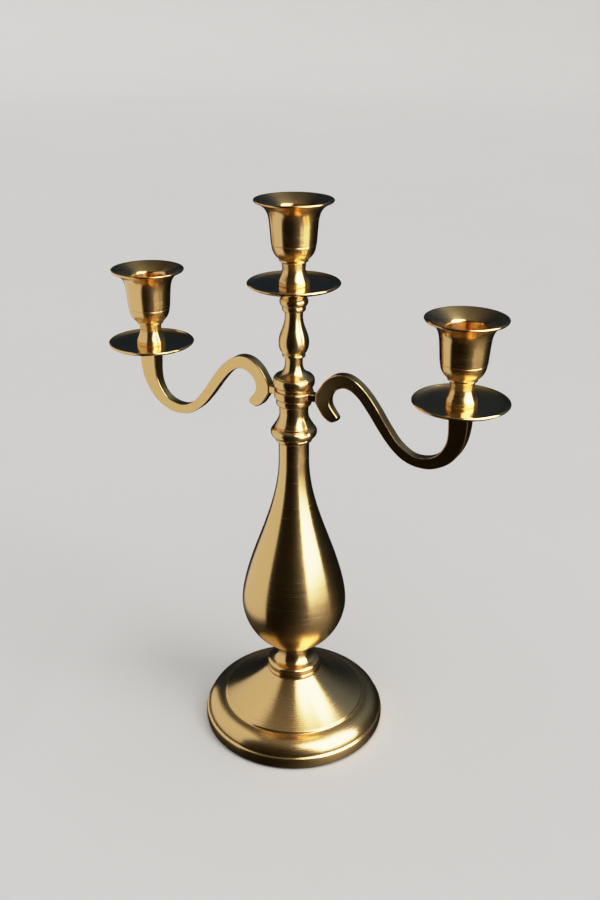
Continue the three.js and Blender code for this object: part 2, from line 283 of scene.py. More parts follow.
def patina(finish, size_mm, detail=3.0):
    """Soft cloudy noise, for tone that wanders over a hand's breadth."""
    place = finish.node("ShaderNodeTexCoord", output="Object")
    return finish.node(
        "ShaderNodeTexNoise",
        None,
        {"Vector": place, "Scale": 1 / (size_mm * MM), "Detail": detail, "Roughness": 0.55},
    )


def blend_colours(finish, amount, first, second):
    """A colour between two colours."""
    return finish.node(
        "ShaderNodeMix",
        {"data_type": "RGBA"},
        {0: amount, 6: (*first, 1.0), 7: (*second, 1.0)},
        output=2,
    )


def turned_brass(name, roughness, anisotropy, streak, light, deep):
    """Lacquered brass that was brushed on the lathe."""
    finish = Finish(name)
    fine = lathe_noise(finish, 2.2, 3.0)
    broad = lathe_noise(finish, 0.35, 2.0, drift=1.2)
    cloud = patina(finish, 38)
    tone = cloud * 0.6 + broad * 0.4
    sheen = (fine - 0.5) * streak + (broad - 0.5) * streak * 0.4 + (cloud - 0.5) * 0.08
    bump = finish.node(
        "ShaderNodeBump",
        None,
        {"Strength": 0.15, "Distance": 0.00003, "Height": fine + broad * 0.2},
    )
    return finish.surface(
        {
            "Base Color": blend_colours(finish, tone, deep, light),
            "Metallic": 1.0,
            "Roughness": sheen + roughness,
            "Anisotropic": anisotropy,
            "Anisotropic Rotation": 0.25,
            "Coat Weight": 0.2,
            "Coat Roughness": 0.1,
            "Normal": bump,
        }
    )


GOLD_LIGHT = (0.92, 0.64, 0.272)
GOLD_DEEP = (0.86, 0.57, 0.215)
satin_turned = turned_brass("satin_brass_turned", 0.23, 0.85, 0.21, GOLD_LIGHT, GOLD_DEEP)
satin_foot = turned_brass("satin_brass_foot", 0.26, 0.8, 0.12, GOLD_LIGHT, GOLD_DEEP)
bright_turned = turned_brass("bright_brass_pan", 0.14, 0.6, 0.04, GOLD_LIGHT, GOLD_DEEP)
print("turned finishes:", satin_turned.name, satin_foot.name, bright_turned.name)

# %% [markdown]
# ## Satin brass, linished
# The arms are cut from flat bar and dressed on a belt, so they have a fine even grain with no
# direction round an axis. Plain noise in two sizes carries it: grain and tone.

# %% Satin brass, linished
def linished_brass(name, roughness):
    finish = Finish(name)
    place = finish.node("ShaderNodeTexCoord", output="Object")
    stretched = finish.node(
        "ShaderNodeMapping", None, {"Vector": place, "Scale": (260, 1600, 1100)}
    )
    grain = finish.node(
        "ShaderNodeTexNoise", None, {"Vector": stretched, "Scale": 1.0, "Detail": 3.0}
    )
    cloud = patina(finish, 24)
    bump = finish.node(
        "ShaderNodeBump", None, {"Strength": 0.05, "Distance": 0.00003, "Height": grain + cloud}
    )
    return finish.surface(
        {
            "Base Color": blend_colours(finish, cloud, GOLD_DEEP, GOLD_LIGHT),
            "Metallic": 1.0,
            "Roughness": (grain - 0.5) * 0.08 + (cloud - 0.5) * 0.06 + roughness,
            "Anisotropic": 0.7,
            "Anisotropic Rotation": 0.25,
            "Coat Weight": 0.2,
            "Coat Roughness": 0.1,
            "Normal": bump,
        }
    )


satin_linished = linished_brass("satin_brass_linished", 0.19)
print("arm finish:", satin_linished.name)

# %% [markdown]
# ## Zinc-plated steel and felt
# The rod, studs, nut and washer are plated steel: a cool grey with the faint cloudiness of
# zinc. The pad under the foot is a dense dark felt, where short fibres catch the light, so it
# is fully rough, has a little sheen and a fibre-scale bump.

# %% Zinc-plated steel
def plated_steel(name):
    finish = Finish(name)
    spangle = patina(finish, 2.2, 4.0)
    return finish.surface(
        {
            "Base Color": blend_colours(finish, spangle, (0.42, 0.44, 0.46), (0.66, 0.68, 0.69)),
            "Metallic": 1.0,
            "Roughness": spangle * 0.2 + 0.24,
        }
    )


zinc_steel = plated_steel("zinc_plated_steel")
print("hardware finish:", zinc_steel.name)


# %% Felt
def pad_felt(name):
    finish = Finish(name)
    place = finish.node("ShaderNodeTexCoord", output="Object")
    fibre = finish.node(
        "ShaderNodeTexNoise",
        None,
        {"Vector": place, "Scale": 2200.0, "Detail": 4.0, "Distortion": 1.6},
    )
    tuft = patina(finish, 3.0, 3.0)
    bump = finish.node(
        "ShaderNodeBump", None, {"Strength": 0.8, "Distance": 0.0002, "Height": fibre + tuft}
    )
    return finish.surface(
        {
            "Base Color": blend_colours(finish, fibre, (0.012, 0.022, 0.016), (0.05, 0.075, 0.06)),
            "Roughness": 1.0,
            "Sheen Weight": 0.4,
            "Sheen Roughness": 0.5,
            "Normal": bump,
        }
    )


dark_felt = pad_felt("dark_felt")
print("pad finish:", dark_felt.name)

# %% [markdown]
# ## Drawing a turned piece
# A lathe cuts a profile, so each turned piece starts as half of its cross-section: straight
# cuts and curves, written as radius and height. No real edge is perfectly sharp. Each corner
# may carry a softness in millimetres, and is then cut back that far and bridged by a small
# curve, because those tiny rounds are what catch the light on a moulding.

# %% Outline of a turned piece
CURVE_STEPS = 18


def bezier(handles, t):
    while len(handles) > 1:
        handles = [a.lerp(b, t) for a, b in zip(handles, handles[1:])]
    return handles[0]


class Outline:
    """Half of a cross-section, in millimetres, drawn from one end to the other."""

    def __init__(self, radius, height):
        self.spots = [(radius, height, 0.0)]

    def line(self, radius, height, soft=0.0):
        self.spots.append((radius, height, soft))
        return self

    def curve(self, radius, height, *handles, soft=0.0, steps=CURVE_STEPS):
        ends = [Vector(self.spots[-1][:2]), *map(Vector, handles), Vector((radius, height))]
        for step in range(1, steps + 1):
            spot = bezier(ends, step / steps)
            self.spots.append((spot.x, spot.y, soft if step == steps else 0.0))
        return self


# %% Soft corners
def softened(spots):
    """Cuts each marked corner back on both sides and bridges the cut with a small curve."""
    along = [0.0]
    for a, b in zip(spots, spots[1:]):
        along.append(along[-1] + math.dist(a[:2], b[:2]))

    def at(distance):
        i = max(k for k in range(len(spots) - 1) if along[k] <= max(distance, 0.0))
        share = (distance - along[i]) / max(along[i + 1] - along[i], 1e-9)
        return Vector(spots[i][:2]).lerp(Vector(spots[i + 1][:2]), share)

    marked = [i for i, spot in enumerate(spots) if spot[2]]
    fences = [0.0] + [along[i] for i in marked] + [along[-1]]
    reach = {}
    for k, i in enumerate(marked):
        room = min(along[i] - fences[k], fences[k + 2] - along[i])
        reach[i] = min(spots[i][2], room * 0.45)
    points = []
    for i, spot in enumerate(spots):
        if i in reach:
            ends = [at(along[i] - reach[i]), Vector(spot[:2]), at(along[i] + reach[i])]
            points.append(at(along[i] - reach[i] * 1.2))
            points += [bezier(ends, t) for t in (0.0, 0.25, 0.5, 0.75, 1.0)]
            points.append(at(along[i] + reach[i] * 1.2))
        elif all(abs(along[i] - along[m]) > reach[m] * 1.2 for m in reach):
            points.append(Vector(spot[:2]))
    return points


# %% [markdown]
# ## Spinning the outline
# Blender's spin operator sweeps edges round an axis, as the lathe does with metal. The last
# step is merged with the first, points on the axis are merged into one, and normals are made
# to face outwards. Shading is smooth except at edges sharper than thirty-five degrees.

# %% Turned mesh
SHARP = math.radians(35)


def piece_from(mesh, name):
    """Turns a bmesh into an object of the scene, shaded smooth with sharp edges kept."""
    bmesh.ops.recalc_face_normals(mesh, faces=mesh.faces)
    data = bpy.data.meshes.new(name)
    mesh.to_mesh(data)
    mesh.free()
    data.shade_smooth()
    data.set_sharp_from_angle(angle=SHARP)
    piece = bpy.data.objects.new(name, data)
    bpy.context.scene.collection.objects.link(piece)
    return piece


def spun(name, points, facets, closed, merge_within):
    """Sweeps points of (radius, height) once round the Z axis."""
    mesh = bmesh.new()
    section = [mesh.verts.new((radius * MM, 0, height * MM)) for radius, height in points]
    pairs = list(zip(section, section[1:]))
    if closed:
        pairs.append((section[-1], section[0]))
    edges = [mesh.edges.new(pair) for pair in pairs]
    bmesh.ops.spin(
        mesh,
        geom=section + edges,
        cent=(0, 0, 0),
        axis=(0, 0, 1),
        dvec=(0, 0, 0),
        angle=math.tau,
        steps=facets,
        use_merge=True,
    )
    bmesh.ops.remove_doubles(mesh, verts=mesh.verts, dist=merge_within)
    return piece_from(mesh, name)


def turned(name, outline, facets=128):
    """A solid of revolution. An outline that starts off the axis closes into a ring."""
    points = softened(outline.spots)
    return spun(name, points, facets, closed=points[0].x > 0, merge_within=1e-7)


# %% Putting a piece in place
def settle(piece, node, finish, x=0.0, height=0.0, turn=0.0):
    """Stands the piece in for a CAD node: same place, same body, its own finish."""
    piece.rotation_euler.z = turn
    piece.location = Matrix.Rotation(turn, 3, "Z") @ Vector((x * MM, 0, height * MM))
    piece.data.materials.append(finish)
    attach(piece, frame["nodes"][node]["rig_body"])
    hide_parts(node)
    low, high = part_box(node)
    size = (high - low) / MM
    print(f"{piece.name}: {len(piece.data.polygons)} faces in {[round(v, 1) for v in size]} mm")
    return piece


# %% [markdown]
# ## Foot
# The foot is a spun dome of sheet brass. From the table up it has a low upright band, a fine
# crease, a fat rounded roll, a sharp little step and a cone with hollow sides that ends in a
# flat crown. The underside follows the same line one wall thickness further in.

# %% Foot
foot_outline = (
    Outline(59.8, 1.0)
    .line(63.5, 1.0, soft=0.5)
    .curve(63.5, 8.6, (64.5, 5), soft=0.4)
    .line(62.3, 9.4, soft=0.5)
    .curve(51.4, 18.5, (62.2, 13.5), (58, 18.4), steps=30)
    .line(49.7, 18.8, soft=0.3)
    .line(49.1, 20.2, soft=0.4)
    .curve(19.0, COLLAR_BASE, (33.5, 27.5), soft=0.3, steps=30)
    .line(BORE, COLLAR_BASE)
    .line(BORE, 38.6)
    .line(17.8, 38.6, soft=0.6)
    .curve(48.1, 17.2, (32, 25.5))
    .line(54, 15.6, soft=0.8)
    .line(59.8, 9.0, soft=0.8)
)
foot = turned("spun_foot", foot_outline, facets=192)
settle(foot, "foot", satin_foot)

# %% Felt pad
pad_outline = (
    Outline(0, 0)
    .line(61.4, 0, soft=0.3)
    .line(61.4, 1.0, soft=0.3)
    .line(0, 1.0)
)
felt = turned("felt_disc", pad_outline, facets=192)
settle(felt, "felt_pad", dark_felt)

# %% Collar
collar_outline = (
    Outline(BORE, COLLAR_BASE)
    .line(19.2, COLLAR_BASE, soft=0.3)
    .line(19.4, 42.4, soft=0.6)
    .line(18.6, 44.4, soft=0.4)
    .line(18.5, 47.0, soft=0.3)
    .curve(15.5, 49.0, (18.2, 48.4), soft=0.3)
    .curve(10.5, 57.0, (12.4, 50.0), (11.0, 52.4))
    .line(10.6, VASE_BASE, soft=0.25)
    .line(BORE, VASE_BASE)
)
collar = turned("turned_collar", collar_outline)
settle(collar, "foot_collar", satin_turned)

# %% Vase
vase_outline = (
    Outline(BORE, VASE_BASE)
    .line(11.6, VASE_BASE, soft=0.3)
    .line(11.9, 62.6, soft=0.35)
    .curve(35.95, 98, (21.5, 64.2), (35.95, 80), steps=36)
    .curve(24.1, 145, (35.95, 111), (29.2, 131), steps=30)
    .curve(10.0, 205, (16.1, 167), (10.2, 185), steps=30)
    .line(9.95, CAP_BASE, soft=0.2)
    .line(BORE, CAP_BASE)
)
vase = turned("turned_vase", vase_outline, facets=160)
settle(vase, "vase", satin_turned)

# %% Vase cap
cap_outline = (
    Outline(BORE, CAP_BASE)
    .line(10.8, CAP_BASE, soft=0.3)
    .curve(12.2, 220.7, (12.2, 218.6), soft=0.3)
    .line(11.7, 221.5, soft=0.2)
    .line(13.6, 221.9, soft=0.4)
    .curve(13.4, 227.9, (15.4, 223.0), (15.7, 226.6), soft=0.3)
    .line(12.9, SPOOL_BASE, soft=0.2)
    .line(BORE, SPOOL_BASE)
)
cap = turned("turned_vase_cap", cap_outline)
settle(cap, "vase_cap", satin_turned)

# %% Spool
spool_outline = (
    Outline(BORE, SPOOL_BASE)
    .line(12.0, SPOOL_BASE, soft=0.1)
    .line(12.0, SPOOL_BASE + 0.3, soft=0.05)
    .line(12.8, SPOOL_BASE + 0.5, soft=0.15)
    .line(12.8, SPOOL_BASE + 1.1, soft=0.2)
    .line(12.3, SPOOL_BASE + 1.4, soft=0.1)
    .curve(9.3, 238, (11.6, 231.6), (9.3, 234.0))
    .line(9.5, 243, soft=0.25)
    .curve(11.5, 245.4, (11.4, 243.2))
    .line(11.3, 247.4, soft=0.3)
    .line(10.6, 247.8, soft=0.1)
    .line(10.6, HUB_SEAT, soft=0.05)
    .line(HUB_BOSS, HUB_SEAT)
    .line(HUB_BOSS, LID_BASE)
    .line(BORE, LID_BASE)
)
spool = turned("turned_spool", spool_outline)
settle(spool, "spool", satin_turned)

# %% Hub lid
lid_outline = (
    Outline(BORE, LID_BASE)
    .line(11.4, LID_BASE, soft=0.2)
    .line(11.4, LID_BASE + 1.8, soft=0.2)
    .line(10.9, LID_BASE + 2.2, soft=0.1)
    .line(12.3, LID_BASE + 2.7, soft=0.2)
    .curve(12.5, BELL_BASE - 0.3, (13.6, 257.0), (13.9, 261.2), soft=0.2)
    .line(11.9, BELL_BASE, soft=0.1)
    .line(BORE, BELL_BASE)
)
lid = turned("turned_hub_lid", lid_outline)
settle(lid, "hub_lid", satin_turned)

# %% Bell
bell_outline = (
    Outline(BORE, BELL_BASE)
    .line(11.9, BELL_BASE, soft=0.1)
    .line(12.0, BELL_BASE + 0.4, soft=0.15)
    .curve(5.6, 270.5, (9.0, 264.2), (6.1, 265.8))
    .curve(5.9, BALUSTER_BASE, (5.5, 273.5), soft=0.15)
    .line(BORE, BALUSTER_BASE)
)
bell = turned("turned_bell", bell_outline)
settle(bell, "bell", satin_turned)

# %% Baluster
baluster_outline = (
    Outline(BORE, BALUSTER_BASE)
    .line(7.2, BALUSTER_BASE, soft=0.25)
    .line(7.4, 276.9, soft=0.4)
    .line(6.9, 277.6, soft=0.2)
    .curve(9.6, 285, (8.7, 279.5), (9.6, 282.0))
    .curve(5.65, 302, (9.6, 291.0), (5.65, 295.0))
    .line(5.8, BEAD_BASE, soft=0.2)
    .line(BORE, BEAD_BASE)
)
baluster = turned("turned_baluster", baluster_outline)
settle(baluster, "baluster", satin_turned)

# %% Top bead
BEAD_TOP = round(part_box("top_bead")[1].z / MM, 3)
bead_outline = (
    Outline(BORE, BEAD_BASE)
    .line(6.2, BEAD_BASE, soft=0.2)
    .curve(7.5, 307.6, (7.6, 305.2), soft=0.25)
    .line(7.0, 308.4, soft=0.2)
    .curve(7.4, 313.8, (9.5, 308.8), (9.5, 313.2), soft=0.15)
    .line(8.1, 314.6, soft=0.35)
    .line(8.1, BEAD_TOP, soft=0.35)
    .line(BORE, BEAD_TOP)
)
bead = turned("turned_top_bead", bead_outline)
settle(bead, "top_bead", satin_turned)

# %% [markdown]
# ## Drip pans and candle cups
# Each pan is a thin dish with a rolled lip, and each cup is turned in one piece: a plinth, a
# flared foot, a waist ring, a bowl with one fine groove and a wide trumpet rim round the
# candle socket. All three lights are made from the same two outlines.

# %% Drip pan and candle cup
pan_outline = (
    Outline(BORE, -PAN_WALL)
    .line(19.8, -PAN_WALL)
    .curve(28.4, 0.5, (25.8, -PAN_WALL))
    .curve(28.25, 2.0, (29.4, 1.2), steps=10)
    .line(27.5, 1.6, soft=0.3)
    .curve(20.8, 0.0, (25.2, 0.0))
    .line(BORE, 0.0)
)
cup_outline = (
    Outline(0, 9.1)
    .line(BORE, 9.1)
    .line(BORE, 0.0)
    .line(9.6, 0.0, soft=0.5)
    .line(9.6, 2.8, soft=0.9)
    .curve(7.1, 10.2, (8.7, 5.0), (7.1, 7.4))
    .line(7.5, 14.2, soft=0.4)
    .line(8.9, 14.8, soft=0.25)
    .line(8.8, 16.0, soft=0.25)
    .curve(13.6, 24.8, (13.2, 18.8), soft=0.15)
    .line(13.35, 25.1, soft=0.08)
    .line(13.85, 25.4, soft=0.12)
    .line(14.6, 35.0)
    .curve(23.6, 50.0, (15.2, 42.4), (15.8, 47.0), steps=30)
    .curve(23.7, 51.6, (24.7, 51.0), steps=10, soft=0.2)
    .curve(12.2, 47.0, (16.6, 49.4), steps=24)
    .line(11.3, 46.1, soft=0.7)
    .line(10.4, 25.5, soft=0.5)
    .line(0, 25.5)
)

# %% The three lights
lights = {
    "center": (0.0, CENTRE_PAN, 0.0),
    "right": (ARM_REACH, SIDE_PAN, 0.0),
    "left": (ARM_REACH, SIDE_PAN, math.pi),
}
for side, (reach, floor, turn) in lights.items():
    pan = turned(f"dished_pan_{side}", pan_outline, facets=144)
    settle(pan, f"drip_pan_{side}", bright_turned, reach, floor, turn)
    cup = turned(f"turned_cup_{side}", cup_outline, facets=144)
    settle(cup, f"candle_cup_{side}", satin_turned, reach, floor, turn)

# %% [markdown]
# ## Hub
# The hub is a flat ring with a short tapering lug on each side for the arm studs. Seen from
# above its edge is never hidden from its own middle, so one radius for each direction says it
# all. Each level of the ring repeats that plan, pulled in a little where the edges are soft.

# %% Hub
HUB_RADIUS = 12.6
HUB_BORE = 6.1
LUG_REACH = 17.0
LUG_HALF_TIP = 2.7
LUG_HALF_ROOT = 4.0
LUG_ROOT_AT = 10.6
BLEND_WIDTH = 1.2
BLEND_FILL = 0.3


def hub_reach(angle, inset):
    """Radius of the hub's edge in one direction, pulled in by an inset."""
    x, y = abs(math.cos(angle)), abs(math.sin(angle))
    slope = (LUG_HALF_ROOT - LUG_HALF_TIP) / (LUG_REACH - LUG_ROOT_AT)
    flank = (LUG_HALF_TIP + slope * LUG_REACH - inset) / max(y + slope * x, 1e-6)
    lug = min((LUG_REACH - inset) / max(x, 1e-6), flank)
    ring = HUB_RADIUS - inset
    blend = max(BLEND_WIDTH - abs(lug - ring), 0.0) / BLEND_WIDTH
    return max(lug, ring) + blend * blend * BLEND_FILL


def loops_round(mesh, point_at, levels, columns):
    """One loop of vertices round the axis for each level."""
    loops = []
    for level in levels:
        loop = []
        for column in range(columns):
            angle = math.tau * column / columns
            radius, height = point_at(angle, level)
            spot = (radius * math.cos(angle) * MM, radius * math.sin(angle) * MM, height * MM)
            loop.append(mesh.verts.new(spot))
        loops.append(loop)
    return loops


def skin(mesh, lower, upper):
    """Four-sided faces between two loops of equal length."""
    for i in range(len(lower)):
        k = (i + 1) % len(lower)
        mesh.faces.new((lower[i], lower[k], upper[k], upper[i]))


def grid_ring(name, point_at, levels, columns):
    """A closed ring from a table of points: columns round the axis, levels round its section."""
    mesh = bmesh.new()
    loops = loops_round(mesh, point_at, levels, columns)
    for lower, upper in zip(loops, loops[1:] + loops[:1]):
        skin(mesh, lower, upper)
    return piece_from(mesh, name)


soft_edge = [(0.5, 0.0), (0.25, 0.07), (0.07, 0.25), (0.0, 0.5), (0.0, 0.6)]
hub_levels = [("bore", HUB_BASE, 0.0), ("edge", HUB_BASE, 0.6)]
hub_levels += [("edge", HUB_BASE + rise, inset) for inset, rise in soft_edge]
hub_levels += [("edge", HUB_TOP - rise, inset) for inset, rise in reversed(soft_edge)]
hub_levels += [("edge", HUB_TOP, 0.6), ("bore", HUB_TOP, 0.0)]


def hub_point(angle, level):
    kind, height, inset = level
    return (HUB_BORE if kind == "bore" else hub_reach(angle, inset), height)


hub = grid_ring("lugged_hub", hub_point, hub_levels, 240)
settle(hub, "arm_hub", satin_turned)

# %% [markdown]
# ## Arms
# Each arm is one flat bar bent into an S, with a small scroll that curls under itself at the
# hub. It is drawn as two smooth lines in side view, one for the underside and one for the
# upper side. Stations along the arm pair them up, and each station carries a rectangle with
# soft corners, so the broad faces stay flat while the edges catch light. The bar thickens
# towards the head that holds the cup, and thins at the tip of the scroll.

# %% Side view of an arm
def smooth_through(points, steps=12):
    """A smooth line through every point, as a bent strip of wood would lie."""
    line = []
    for i in range(len(points) - 1):
        a = Vector(points[max(i - 1, 0)])
        b, c = Vector(points[i]), Vector(points[i + 1])
        d = Vector(points[min(i + 2, len(points) - 1)])
        for step in range(steps):
            t = step / steps
            start, end = (c - a) / 2, (d - b) / 2
            line.append(
                b * (2 * t**3 - 3 * t**2 + 1)
                + start * (t**3 - 2 * t**2 + t)
                + c * (3 * t**2 - 2 * t**3)
                + end * (t**3 - t**2)
            )
    return line + [Vector(points[-1])]


ARM_TOP = 264.2
under_line = smooth_through(
    [
        (118.4, ARM_TOP), (118.4, 250), (115.8, 238.2), (108.8, 227.6), (98, 221.2),
        (88, 220.2), (78.6, 222.6), (69.8, 229), (61.8, 238.2), (53.8, 249),
        (46, 257.8), (38.6, 261.6), (31.8, 259.6), (27.4, 254.4), (27.2, 248.4), (32.4, 241.2),
    ]
)
upper_line = smooth_through(
    [
        (106.2, ARM_TOP), (106.6, 247), (104.8, 238.2), (100.2, 231.2), (93.2, 227.4),
        (84.2, 227.2), (75.2, 232.6), (67.4, 242), (60.4, 252), (53.2, 260.8),
        (45.8, 267), (38.4, 270), (30.6, 269.2), (24, 264.8), (19.2, 258),
        (LUG_REACH, HUB_TOP + 0.4),
    ]
)
scroll_line = smooth_through(
    [
        (LUG_REACH, HUB_BASE - 0.4), (19.2, 244.4), (22.8, 239.4), (27.8, 237), (32, 238.6),
    ]
)
upper_line += scroll_line
print("arm outline:", len(under_line), "points below,", len(upper_line), "above")


# %% Stations along the arm
def stretch(line, start, end, shares):
    """Points at these shares of the way along a line, between two of its points."""
    part = line[start : end + 1]
    along = [0.0]
    for a, b in zip(part, part[1:]):
        along.append(along[-1] + (b - a).length)
    spots = []
    for share in shares:
        distance = share * along[-1]
        i = max(k for k in range(len(part) - 1) if along[k] <= distance)
        t = (distance - along[i]) / max(along[i + 1] - along[i], 1e-9)
        spots.append(part[i].lerp(part[i + 1], min(t, 1.0)))
    return spots


def nearest(line, spot):
    """Index of the point of a line that lies closest to a spot."""
    return min(range(len(line)), key=lambda i: (line[i] - Vector(spot)).length)


TIP_STATIONS = 24
crest_under = nearest(under_line, (38.6, 261.6))
crest_upper = nearest(upper_line, (38.4, 270))
seat_top = nearest(upper_line, (LUG_REACH, HUB_TOP + 0.4))
seat_bottom = nearest(upper_line, (LUG_REACH, HUB_BASE - 0.4))
body_shares = [i / 90 for i in range(91)]
part_shares = [i / TIP_STATIONS for i in range(TIP_STATIONS + 1)]
under = stretch(under_line, 0, crest_under, body_shares)
upper = stretch(upper_line, 0, crest_upper, body_shares)
inner_knots = [0.0, 0.46, 0.56, 1.0]
outer_knots = [crest_upper, seat_top, seat_bottom, len(upper_line) - 1]
for k in range(3):
    shares = [inner_knots[k] + (inner_knots[k + 1] - inner_knots[k]) * s for s in part_shares]
    under += stretch(under_line, crest_under, len(under_line) - 1, shares)[1:]
    upper += stretch(upper_line, outer_knots[k], outer_knots[k + 1], part_shares)[1:]
print("stations along the arm:", len(under))


# %% Cross-section of an arm
def smoothstep(value, low, high):
    t = min(max((value - low) / (high - low), 0.0), 1.0)
    return t * t * (3 - 2 * t)


def bar_section(low, high, thickness, soft):
    """Points round one station: a rectangle with soft corners."""
    across = (high - low).normalized()
    width = (high - low).length
    soft = min(soft, width * 0.45)
    half = thickness / 2
    middle = (low + high) / 2
    points = []
    corners = [(-1, -1, 180), (1, -1, 270), (1, 1, 0), (-1, 1, 90)]
    for u, v, start in corners:
        centre_u, centre_v = u * (width / 2 - soft), v * (half - soft)
        arc = [start + turn for turn in (0, 22.5, 45, 67.5, 90)]
        spots = []
        for angle in map(math.radians, arc):
            spots.append((centre_u + soft * math.cos(angle), centre_v + soft * math.sin(angle)))
        hold = soft * 0.25
        ends_u, ends_v = (0, v * hold) if u * v > 0 else (u * hold, 0)
        first = (spots[0][0] - ends_u, spots[0][1] - ends_v)
        ends_u, ends_v = (u * hold, 0) if u * v > 0 else (0, v * hold)
        last = (spots[-1][0] - ends_u, spots[-1][1] - ends_v)
        for along_u, along_v in [first, *spots, last]:
            flat = middle + across * along_u
            points.append((flat.x * MM, along_v * MM, flat.y * MM))
    return points


def bar_thickness(x, z):
    """About six and a half millimetres, growing up the head to nine and a half."""
    on_head = smoothstep(z, 230, 256) if x > 95 else 0.0
    return 6.4 + 3.0 * on_head


# %% Arm mesh
def arm_piece(name):
    mesh = bmesh.new()
    sections = []
    last = len(under) - 1
    for i, (low, high) in enumerate(zip(under, upper)):
        tip = 1 - min((last - i) / TIP_STATIONS, 1.0)
        thin = 1 - 0.16 * tip**1.5
        thickness = bar_thickness(high.x, (low.y + high.y) / 2) * thin
        section = bar_section(low, high, thickness, 0.65 + 0.5 * tip)
        sections.append([mesh.verts.new(p) for p in section])
    for section, after in zip(sections, sections[1:]):
        skin(mesh, section, after)
    mesh.faces.new(sections[0])
    mesh.faces.new(sections[-1])
    return piece_from(mesh, name)


for side, turn in (("right", 0.0), ("left", math.pi)):
    arm = arm_piece(f"scroll_arm_{side}")
    settle(arm, f"arm_{side}", satin_linished, turn=turn)

# %% [markdown]
# ## Rod and studs
# The stack is held by a rod with a quarter-inch thread at both ends, and the same thread holds
# each side cup. A thread is a ridge that climbs one pitch in each turn. The mesh is a tube
# whose radius depends on height and direction together, which draws that ridge exactly.

# %% Threads
STEPS_PER_TURN = 6
THREAD_DEPTH = 0.3


def threaded_rod(name, radius, bottom, top, pitch, threads, columns=24):
    """A rod along Z with thread on the stretches given, and plain in between."""
    step = pitch / STEPS_PER_TURN
    depth = pitch * THREAD_DEPTH
    heights = {bottom, top}
    for low, high in threads:
        count = int((high - low) / step)
        heights.update(low + step * i for i in range(count + 1))
        heights.add(high)
    heights = sorted(heights)

    def depth_at(height, angle):
        share = (height / pitch - angle / math.tau) % 1.0
        for low, high in threads:
            if low <= height <= high:
                fade = min((height - low) / pitch, (high - height) / pitch, 1.0)
                ridge = abs(share * 2 - 1)
                ends = height - bottom < pitch or top - height < pitch
                return depth * (ridge * fade if not ends else 1 - (1 - ridge) * fade)
        return 0.0

    def thread_point(angle, height):
        return radius - depth_at(height, angle), height

    mesh = bmesh.new()
    loops = loops_round(mesh, thread_point, heights, columns)
    for lower, upper in zip(loops, loops[1:]):
        skin(mesh, lower, upper)
    mesh.faces.new(loops[0])
    mesh.faces.new(loops[-1])
    return piece_from(mesh, name)


rod_low, rod_high = (round(p.z / MM, 3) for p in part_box("tie_rod"))
rod = threaded_rod(
    "threaded_tie_rod", ROD_RADIUS, rod_low, rod_high, ROD_PITCH,
    [(rod_low, rod_low + 11), (rod_high - 14, rod_high)],
)
settle(rod, "tie_rod", zinc_steel)
for side, turn in (("right", 0.0), ("left", math.pi)):
    low, high = (round(p.z / MM, 3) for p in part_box(f"cup_stud_{side}"))
    name = f"threaded_cup_stud_{side}"
    stud = threaded_rod(name, ROD_RADIUS, low, high, ROD_PITCH, [(low, high)])
    settle(stud, f"cup_stud_{side}", zinc_steel, ARM_REACH, 0.0, turn)

# %% Arm studs
for side, turn in (("right", 0.0), ("left", math.pi)):
    low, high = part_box(f"arm_stud_{side}")
    inner, outer = sorted(abs(v) / MM for v in (low.x, high.x))
    name = f"threaded_arm_stud_{side}"
    whole = [(inner, outer)]
    stud = threaded_rod(name, ARM_STUD_RADIUS, inner, outer, ARM_STUD_PITCH, whole, columns=16)
    stud.data.transform(Matrix.Rotation(math.radians(90), 4, "Y"))
    middle = (low.z + high.z) / 2 / MM
    settle(stud, f"arm_stud_{side}", zinc_steel, 0.0, middle, turn)

# %% [markdown]
# ## Washer and nut
# Under the foot a washer and a six-sided nut pull the stack together. The nut is a hexagon
# whose corners are cut back by a cone at both ends, which leaves the curved bevels that every
# real nut has. Its radius in each direction is the smaller of the hexagon's and the cone's.

# %% Washer and nut
washer_low, washer_high = (round(p.z / MM, 3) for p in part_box("foot_washer"))
washer_outline = (
    Outline(BORE, washer_low)
    .line(9.0, washer_low, soft=0.3)
    .line(9.0, washer_high, soft=0.3)
    .line(BORE, washer_high)
)
washer = turned("foot_washer_plate", washer_outline, facets=96)
settle(washer, "foot_washer", zinc_steel)

nut_low, nut_high = (round(p.z / MM, 3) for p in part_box("foot_nut"))
NUT_CORNER = 6.4


def nut_point(angle, level):
    kind, height, cone = level
    if kind == "bore":
        return BORE, height
    sixth = math.radians(60)
    off_flat = (angle % sixth) - sixth / 2
    flat = NUT_CORNER * math.cos(sixth / 2) / math.cos(off_flat)
    return min(flat, cone), height


nut_levels = [("bore", nut_low, 0), ("edge", nut_low, 5.5), ("edge", nut_low + 0.3, 5.9)]
nut_levels += [("edge", nut_low + 0.7, 6.4), ("edge", nut_high - 0.7, 6.4)]
nut_levels += [("edge", nut_high - 0.3, 5.9), ("edge", nut_high, 5.5), ("bore", nut_high, 0)]
nut = grid_ring("foot_hex_nut", nut_point, nut_levels, 96)
settle(nut, "foot_nut", zinc_steel)

# %% [markdown]
# ## Floor and light
# The floor is one plain pale sheet that curves up into a wall far away, as paper does in a
# studio. Metal has no colour of its own in the dark: it shows what stands round it. A tall
# quiet panel stands upright and close on the left, so its edge falls at a different place on
# each turned piece. A large bright panel stands high and far off on the right. The room round
# them is dim, blue behind and overhead on the right, and warm low down on the right.
# Two more lamps light the paper. The brass doesn't mirror the paper or those lamps, because
# dark cards round the subject are what give brass its deep tones between the highlights.

